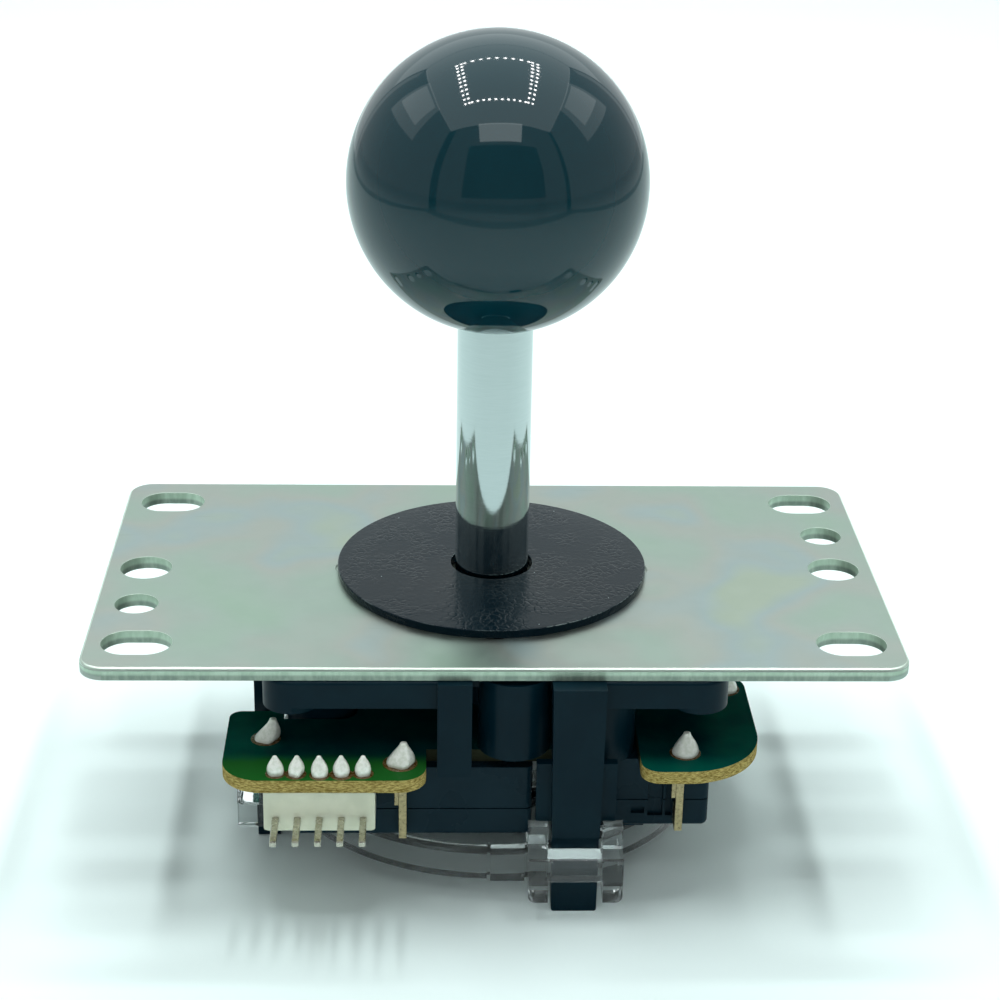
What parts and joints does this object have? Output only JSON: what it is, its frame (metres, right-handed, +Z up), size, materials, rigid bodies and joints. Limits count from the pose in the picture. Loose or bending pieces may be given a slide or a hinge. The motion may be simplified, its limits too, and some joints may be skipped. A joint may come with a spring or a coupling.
{
  "type": "arcade joystick lever",
  "caption": "Ball-topped arcade lever on a chromed shaft: slotted steel plate above, housing, snap switches, circuit board and clear restrictor below.",
  "frame": {"origin": "centre of the mounting plate's top face, on the shaft's axis", "axes": "+Z up the shaft to the ball, X along the plate's long side, -Y the side with the harness connector"},
  "size_m": [0.095, 0.0673, 0.0977],
  "materials": {
    "zinc_plate": "zinc plated, satin, faintly iridescent",
    "black_nylon": "leather-grained satin black",
    "black_housing": "moulded satin black",
    "green_board": "green solder mask over glass board",
    "solder": "bright solder",
    "white_connector": "milky white nylon",
    "tinned_pin": "tinned",
    "clear_plastic": "clear polycarbonate",
    "chrome_shaft": "polished chrome",
    "black_ball": "polished black",
    "brass_insert": "machined",
    "white_nylon": "natural nylon",
    "spring_steel": "bright spring wire",
    "switch_black": "moulded black",
    "terminal_brass": "dull gold",
    "plunger_grey": "moulded"
  },
  "bodies": {
    "housing": {"mounting_plate": "zinc_plate", "plate_screws": "zinc_plate", "dust_washer": "black_nylon", "body_housing": "black_housing", "circuit_board": "green_board", "solder_joints": "solder", "connector_housing": "white_connector", "connector_pins": "tinned_pin", "restrictor_frame": "clear_plastic", "restrictor_gate": "clear_plastic", "switch_case_front": "switch_black", "switch_cover_front": "switch_black", "switch_terminals_front": "terminal_brass", "switch_case_right": "switch_black", "switch_cover_right": "switch_black", "switch_terminals_right": "terminal_brass", "switch_case_back": "switch_black", "switch_cover_back": "switch_black", "switch_terminals_back": "terminal_brass", "switch_case_left": "switch_black", "switch_cover_left": "switch_black", "switch_terminals_left": "terminal_brass"},
    "spring_carrier": {"return_spring": "spring_steel"},
    "lever": {"pivot_ball": "white_nylon", "spring_seat": "white_nylon", "actuator": "black_nylon"},
    "shaft": {"lever_shaft": "chrome_shaft", "ball_top": "black_ball", "ball_insert": "brass_insert", "e_clip": "spring_steel"},
    "plunger_front": {"switch_plunger_front": "plunger_grey"},
    "plunger_right": {"switch_plunger_right": "plunger_grey"},
    "plunger_back": {"switch_plunger_back": "plunger_grey"},
    "plunger_left": {"switch_plunger_left": "plunger_grey"}
  },
  "joints": [
    {"name": "tilt_front_back", "type": "hinge", "parent": "housing", "child": "spring_carrier", "pos_m": [0, 0, -0.0012], "axis": [1, 0, 0], "range_deg": [-7, 7], "stiffness_Nm_per_rad": 0.3, "deforming": ["return_spring"]},
    {"name": "tilt_left_right", "type": "hinge", "parent": "spring_carrier", "child": "lever", "pos_m": [0, 0, -0.0012], "axis": [0, 1, 0], "range_deg": [-7, 7], "stiffness_Nm_per_rad": 0.3, "deforming": ["return_spring"]},
    {"name": "shaft_spin", "type": "hinge", "parent": "lever", "child": "shaft", "pos_m": [0, 0, -0.0012], "axis": [0, 0, 1], "continuous": true},
    {"name": "press_front", "type": "slide", "parent": "housing", "child": "plunger_front", "axis": [0, -1, 0], "range_m": [-0.0012, 0.0012]},
    {"name": "press_right", "type": "slide", "parent": "housing", "child": "plunger_right", "axis": [1, 0, 0], "range_m": [-0.0012, 0.0012]},
    {"name": "press_back", "type": "slide", "parent": "housing", "child": "plunger_back", "axis": [0, 1, 0], "range_m": [-0.0012, 0.0012]},
    {"name": "press_left", "type": "slide", "parent": "housing", "child": "plunger_left", "axis": [-1, 0, 0], "range_m": [-0.0012, 0.0012]}
  ],
  "couplings": [
    {"joint": "press_front", "follows": "tilt_front_back", "m_per_rad": -0.009},
    {"joint": "press_back", "follows": "tilt_front_back", "m_per_rad": 0.009},
    {"joint": "press_left", "follows": "tilt_left_right", "m_per_rad": 0.009},
    {"joint": "press_right", "follows": "tilt_left_right", "m_per_rad": -0.009}
  ]
}
